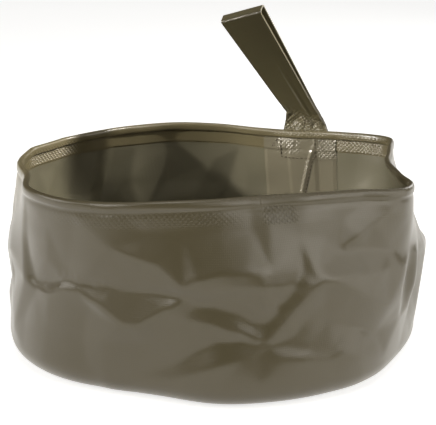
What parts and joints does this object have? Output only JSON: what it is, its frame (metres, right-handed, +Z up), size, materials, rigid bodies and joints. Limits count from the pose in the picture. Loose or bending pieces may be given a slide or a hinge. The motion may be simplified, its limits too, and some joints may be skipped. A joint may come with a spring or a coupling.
{
  "type": "collapsible camp washbasin",
  "caption": "Soft round camp washbasin of coated fabric with a corded hem, a lapped back seam and a folding strap loop on the rim; its wall folds down flat.",
  "frame": {"origin": "on the floor, under the middle of the basin's slumped outline", "axes": "+Z up; +X along the line the strap folds about; +Y out of the basin through the rim behind the strap"},
  "size_m": [0.3216, 0.3102, 0.2478],
  "materials": {
    "coated_fabric": "satin, olive drab coated fabric with a faint weave",
    "welded_fabric": "satin, olive drab coated fabric, doubled and pressed with a fine knurl",
    "cord": "matte braided polyester cord",
    "thread": "matte sewing thread, dark olive"
  },
  "bodies": {
    "base": {"base_panel": "coated_fabric", "wall_panel": "coated_fabric", "seam_tape": "coated_fabric", "seam_thread": "thread"},
    "rim": {"rim_hem": "welded_fabric", "rim_cord": "cord", "seam_cover": "welded_fabric", "strap_sewn_end": "welded_fabric", "strap_neck": "welded_fabric", "strap_thread_inside": "thread", "strap_thread_outside": "thread"},
    "handle": {"strap_loop": "coated_fabric"}
  },
  "joints": [
    {"name": "collapse", "type": "slide", "parent": "base", "child": "rim", "axis": [0, 0, 1], "range_m": [-0.1, 0], "deforming": ["wall_panel", "seam_tape", "seam_thread"]},
    {"name": "handle_fold", "type": "hinge", "parent": "rim", "child": "handle", "pos_m": [0.03691, 0.13312, 0.14157], "axis": [-1, 0, 0], "range_deg": [-70, 185], "deforming": ["strap_neck"]}
  ]
}
